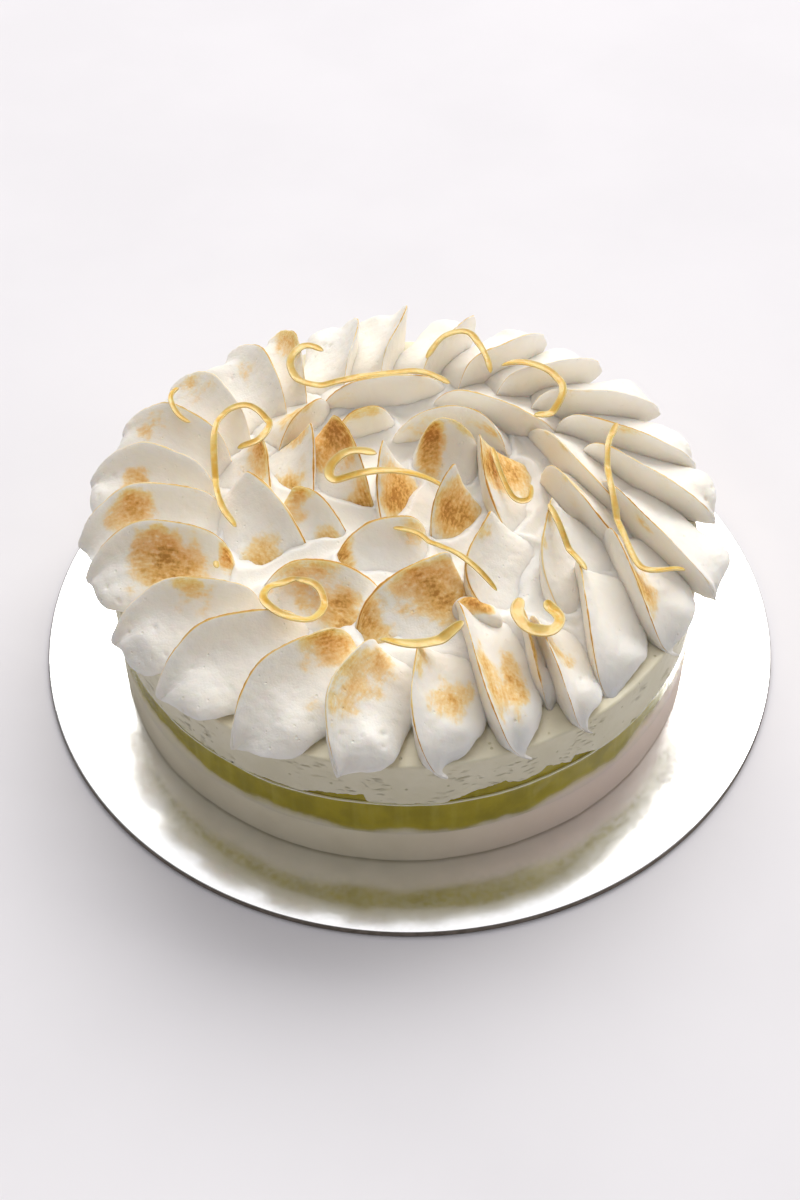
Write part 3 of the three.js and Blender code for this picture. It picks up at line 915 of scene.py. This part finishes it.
def make_bed(petals):
    """The meringue spread under and between the inner petals, drawn up a little where it meets them."""
    reach = 84 * MM
    rise = 8 * MM
    fillet = 4.5 * MM
    underside = 0.2 * MM
    rings = 80
    bm = bmesh.new()
    bm.verts.layers.float.new("toast")
    bm.verts.layers.float.new("crest")
    shares = [ring / rings for ring in range(rings + 1)]
    profile = [(reach * share, rise * (1 - share ** 2.4) + 0.3 * MM) for share in shares]
    profile += [(reach * 0.98, 0), (0, 0)]
    turn_round(bm, profile, axis + Vector((0, 0, deck)), 320)
    walls = ground_of(petals)
    for vert in bm.verts:
        up = vert.co.z - deck
        if up < underside:
            continue
        waves = 1.8 * ruffle(vert.co, 12 * MM, 31) + 0.5 * ruffle(vert.co, 5 * MM, 32)
        vert.co.z += waves * MM * min(up / rise + 0.2, 1)
        away = walls.find_nearest(vert.co)[3]
        vert.co.z += 0.6 * fillet * max(0, 1 - away / fillet) ** 2
        vert.co.z = max(vert.co.z, deck + 0.1 * MM)
    return add_piece(bm, "meringue_bed", meringue, "meringue")


# ----- The lemon peel -----

# The width of each strip and the way that it takes over the petals, as points in millimetres from the
# cake's axis.
PEEL_WAYS = [
    (2.6, [(-35, -35), (-27, -38), (-25, -46), (-29, -54), (-37, -54), (-43, -48), (-42, -40), (-37, -36),
           (-32, -35)]),
    (3.4, [(-8, -61), (-2, -65), (5, -66), (12, -63), (19, -57)]),
    (4.0, [(36, -47), (34, -54), (38, -61), (44, -62), (47, -56), (43, -46)]),
    (1.8, [(-4, -17), (4, -18), (10, -23), (18, -31), (29, -42)]),
    (3.0, [(-8, 14), (-18, 14), (-24, 9), (-22, 4), (-8, 4), (15, 7)]),
    (2.2, [(72, 30), (68, 19), (67, 5), (68, -9), (70, -24), (73, -35), (79, -36), (89, -31)]),
    (3.0, [(34, 62), (44, 61), (53, 55), (55, 46), (50, 38), (43, 36)]),
    (2.4, [(-54, -10), (-59, -3), (-62, 10), (-63, 28), (-60, 38), (-52, 41), (-45, 34), (-48, 24),
           (-56, 21)]),
    (2.8, [(17, 54), (6, 57), (-8, 57), (-21, 54), (-34, 54), (-39, 62), (-34, 70), (-26, 68)]),
]
LOOSE_WAYS = [
    (2.0, [(46, -10), (49, -18), (53, -29), (57, -38)]),
    (2.0, [(-77, 52), (-79, 44), (-76, 36), (-70, 32)]),
    (2.0, [(29, 18), (32, 7), (36, -1), (41, 0), (42, 7)]),
    (2.4, [(8, 63), (15, 73), (24, 76), (29, 65), (31, 56)]),
    (2.6, [(-60, -25), (-59, -29)]),
]
# The section of a strip: across as part of its width, up as part of its thickness, with raised edges.
STRIP_OUTLINE = [
    (-0.5, -0.2), (-0.4, -0.5), (0.4, -0.5), (0.5, -0.2), (0.5, 0.35), (0.42, 0.5), (0.28, 0.1),
    (-0.28, 0.1), (-0.42, 0.5), (-0.5, 0.35),
]
# The corners of the raised edges, painted paler as a painted highlight.
STRIP_HIGHLIGHT_CORNERS = (0, 3, 4, 5, 8, 9)


def curve_through(points, spacing):
    """Points an even step apart on a smooth curve through the points given."""
    ends = [points[0] * 2 - points[1]] + points + [points[-1] * 2 - points[-2]]
    steps = 24
    fine = []
    for before, start, end, after in zip(ends, ends[1:], ends[2:], ends[3:]):
        for step in range(steps):
            share = step / steps
            fine.append(0.5 * (2 * start + (end - before) * share
                               + (2 * before - 5 * start + 4 * end - after) * share ** 2
                               + (3 * start - before - 3 * end + after) * share ** 3))
    fine.append(points[-1])
    spaced = [fine[0]]
    for point in fine:
        if (point - spaced[-1]).length >= spacing:
            spaced.append(point)
    return spaced


def drape(ground, way, width):
    """The heights of a way laid over the petals: at least the ground's under the strip, and bridging the
    dips that are too tight for it."""
    tightest_bend = 22 * MM
    heights = []
    for number, point in enumerate(way):
        beside = (way[min(number + 1, len(way) - 1)] - way[max(number - 1, 0)]).normalized()
        across = Vector((-beside.y, beside.x, 0)) * width / 2
        felt = [deck]
        for share in (-1, -0.5, 0, 0.5, 1):
            hit = ground.ray_cast(point + across * share + Vector((0, 0, 1)), Vector((0, 0, -1)))[0]
            if hit:
                felt.append(hit.z)
        heights.append(max(felt))
    lifted = []
    for here in way:
        lifted.append(max(height - (here - there).length_squared / (2 * tightest_bend)
                          for height, there in zip(heights, way)))
    return lifted


def make_peel(name, width, points, ground, seed, *nodes):
    """One strip of peel, leaning now to one side and now to the other, narrower at its cut ends."""
    thickness = 0.9 * MM
    spacing = 1.3 * MM
    way = curve_through([axis + Vector((x, y, 0)) * MM for x, y in points], spacing)
    heights = drape(ground, way, width * MM)
    spots = [point + Vector((0, 0, height + thickness * 0.6)) for point, height in zip(way, heights)]
    places = []
    for number, spot in enumerate(spots):
        forward = (spots[min(number + 1, len(spots) - 1)] - spots[max(number - 1, 0)]).normalized()
        across = forward.cross(Vector((0, 0, 1))).normalized()
        lean = math.radians(36 * ruffle(spot, 17 * MM, seed))
        across = (Matrix.Rotation(lean, 3, forward) @ across).normalized()
        up = across.cross(forward)
        share = number / (len(spots) - 1)
        ends = min(share, 1 - share) * len(spots) / 2.5
        wide = 1.15 * width * MM * (0.86 + 0.22 * ruffle(spot, 8 * MM, seed + 3))
        wide *= 0.55 + 0.45 * smooth(0, 1, ends)
        clear = up * abs(math.sin(lean)) * wide * 0.4       # keeps the lower edge out of the meringue
        places.append(stand((forward, across * wide, up * thickness, spot + clear)))
    bm = bmesh.new()
    step_layer = bm.verts.layers.int.new("step")
    corner_layer = bm.verts.layers.int.new("corner")
    rim = bm.verts.layers.float.new("rim")
    draw_out(bm, STRIP_OUTLINE, places, step_layer, corner_layer)
    # The rim value marks the edge corners that carry the painted highlight.
    for vert in bm.verts:
        vert[rim] = 1.0 if vert[corner_layer] in STRIP_HIGHLIGHT_CORNERS else 0.0
    add_piece(bm, name, peel, "peel", *nodes, levels=1)


def make_dab():
    """A small dab of meringue left in a gap of the crown, browned on top."""
    bm = bmesh.new()
    toast = bm.verts.layers.float.new("toast")
    bm.verts.layers.float.new("crest")
    bmesh.ops.create_uvsphere(bm, u_segments=28, v_segments=16, radius=1)
    middle = deck + 8 * MM
    half_height = 7.5 * MM
    place = Matrix.Translation(polar(51 * MM, -64, middle))
    turn = Matrix.Rotation(math.radians(-28), 4, "Z")
    size = Matrix.Diagonal((8.5 * MM, 4.6 * MM, half_height, 1))
    bmesh.ops.transform(bm, matrix=place @ turn @ size, verts=bm.verts)
    for vert in bm.verts:
        up = (vert.co.z - middle) / half_height
        vert[toast] = 0.9 * smooth(0.55, 0.9, up)
        vert.co += Vector((1, 1, 1)) * ruffle(vert.co, 5 * MM, 61) * 1.2 * MM
    return add_piece(bm, "meringue_dab", meringue, "meringue", levels=1)


# ----- The studio -----


def make_studio():
    """A pale floor, a soft room, one wide window behind the cake and two weak fills."""
    floor_mesh = bmesh.new()
    bmesh.ops.create_grid(floor_mesh, x_segments=8, y_segments=8, size=4)
    mesh = bpy.data.meshes.new("floor")
    floor_mesh.to_mesh(mesh)
    floor_mesh.free()
    mesh.materials.append(floor_finish())
    floor = bpy.data.objects.new("floor", mesh)
    bpy.context.scene.collection.objects.link(floor)

    world = bpy.data.worlds.new("soft room")
    bpy.context.scene.world = world
    world.use_nodes = True
    sky = world.node_tree.nodes["Background"]
    sky.inputs["Color"].default_value = (0.95, 0.94, 1.0, 1)
    sky.inputs["Strength"].default_value = 0.215

    add_light("window", (1.2, 4.5, 4.1), (0, 0, 0.03), (7.7, 3.6), 435, (1.0, 0.985, 0.96))
    add_light("high fill", (0.0, 0.5, 3.2), (0, 0, 0), (3.2, 3.2), 34, (1.0, 0.99, 1.0))
    add_light("side fill", (2.2, -0.2, 2.4), (0, 0, 0.03), (2.4, 2.4), 6, (1.0, 0.99, 1.0))


def add_light(name, place, target, size, power, colour):
    """A flat lamp at a place, turned to a target."""
    light = bpy.data.lights.new(name, "AREA")
    light.shape = "RECTANGLE"
    light.size, light.size_y = size
    light.energy = power
    light.color = colour
    lamp = bpy.data.objects.new(name, light)
    lamp.location = place
    lamp.rotation_euler = (Vector(target) - Vector(place)).to_track_quat("-Z", "Y").to_euler()
    bpy.context.scene.collection.objects.link(lamp)


def make_camera():
    """Looks down on the front of the cake from arm's length."""
    lens = bpy.data.cameras.new("camera")
    lens.lens = 52.5
    lens.sensor_width = 36
    camera = bpy.data.objects.new("camera", lens)
    camera.location = (-0.0032, -0.4091, 0.4696)
    turn = Matrix.Rotation(math.radians(41.9), 4, "X") @ Matrix.Rotation(math.radians(-0.45), 4, "Z")
    camera.rotation_euler = turn.to_euler()
    bpy.context.scene.collection.objects.link(camera)
    bpy.context.scene.camera = camera


make_camera()
make_studio()
make_card()
make_base()
make_curd()
make_cream()
petals = make_petals()
bed = make_bed(petals)
dab = make_dab()
ground = ground_of(petals + [bed, dab])
for number, (width, points) in enumerate(PEEL_WAYS, 1):
    make_peel(f"peel_curl_{number}", width, points, ground, number * 2.3, f"lemon_peel_{number}")
for number, (width, points) in enumerate(LOOSE_WAYS, 1):
    make_peel(f"loose_peel_{number}", width, points, ground, number * 3.1 + 40)

bpy.context.scene.view_settings.view_transform = "Standard"

bpy.context.view_layer.update()
